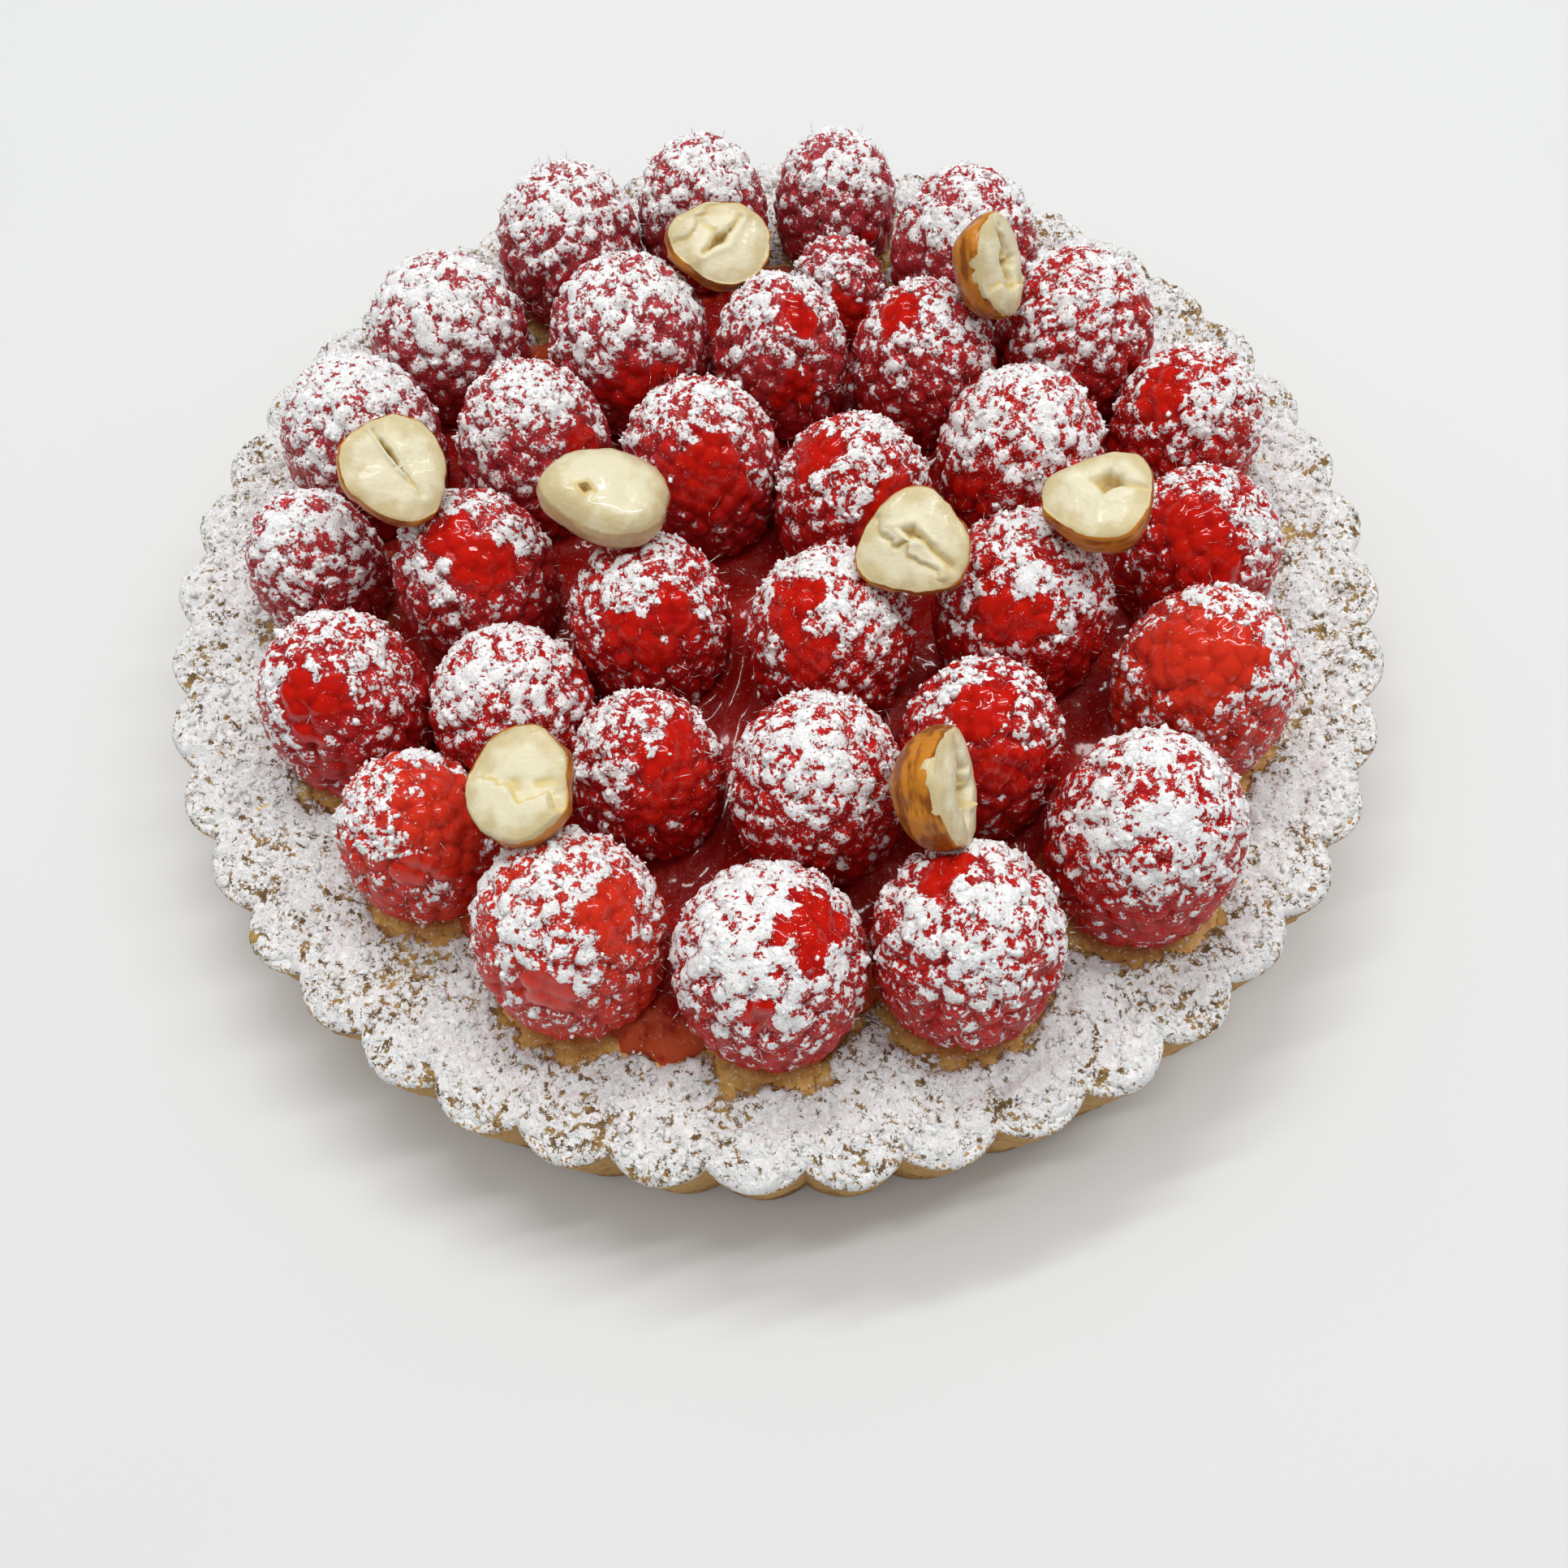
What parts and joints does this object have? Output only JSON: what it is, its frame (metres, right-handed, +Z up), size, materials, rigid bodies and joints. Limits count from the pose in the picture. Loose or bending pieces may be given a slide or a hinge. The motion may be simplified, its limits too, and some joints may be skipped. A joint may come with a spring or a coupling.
{
  "type": "raspberry hazelnut tart",
  "caption": "Round fluted tart with nut filling, jam, whole raspberries standing side by side and hazelnut halves, dusted with icing sugar.",
  "frame": {"origin": "middle of the flat base", "axes": "+Z up out of the tart's top, -Y towards the side that faces the viewer, +X to the viewer's right"},
  "size_m": [0.1502, 0.1502, 0.0496],
  "materials": {
    "shortcrust": "dry baked pastry, pale gold, sugar dusted on top",
    "nut_filling": "baked nut cream, tan brown, matte",
    "jam": "glossy dark red jam",
    "raspberry": "fresh berry with satin drupelets",
    "hazelnut": "cut nut face, cream, with brown papery skin",
    "icing_sugar": "clumped white powder"
  },
  "bodies": {
    "root": {"crust": "shortcrust", "nut_filling": "nut_filling", "jam": "jam", "berry_01": "raspberry", "berry_02": "raspberry", "berry_03": "raspberry", "berry_04": "raspberry", "berry_05": "raspberry", "berry_06": "raspberry", "berry_07": "raspberry", "berry_08": "raspberry", "berry_09": "raspberry", "berry_10": "raspberry", "berry_11": "raspberry", "berry_12": "raspberry", "berry_13": "raspberry", "berry_14": "raspberry", "berry_15": "raspberry", "berry_16": "raspberry", "berry_17": "raspberry", "berry_18": "raspberry", "berry_19": "raspberry", "berry_20": "raspberry", "berry_21": "raspberry", "berry_22": "raspberry", "berry_23": "raspberry", "berry_24": "raspberry", "berry_25": "raspberry", "berry_26": "raspberry", "berry_27": "raspberry", "berry_28": "raspberry", "berry_29": "raspberry", "berry_30": "raspberry", "berry_31": "raspberry", "berry_32": "raspberry", "berry_33": "raspberry", "hazelnut_1": "hazelnut", "hazelnut_2": "hazelnut", "hazelnut_3": "hazelnut", "hazelnut_4": "hazelnut", "hazelnut_5": "hazelnut", "hazelnut_6": "hazelnut", "hazelnut_7": "hazelnut", "hazelnut_8": "hazelnut"}
  },
  "joints": []
}
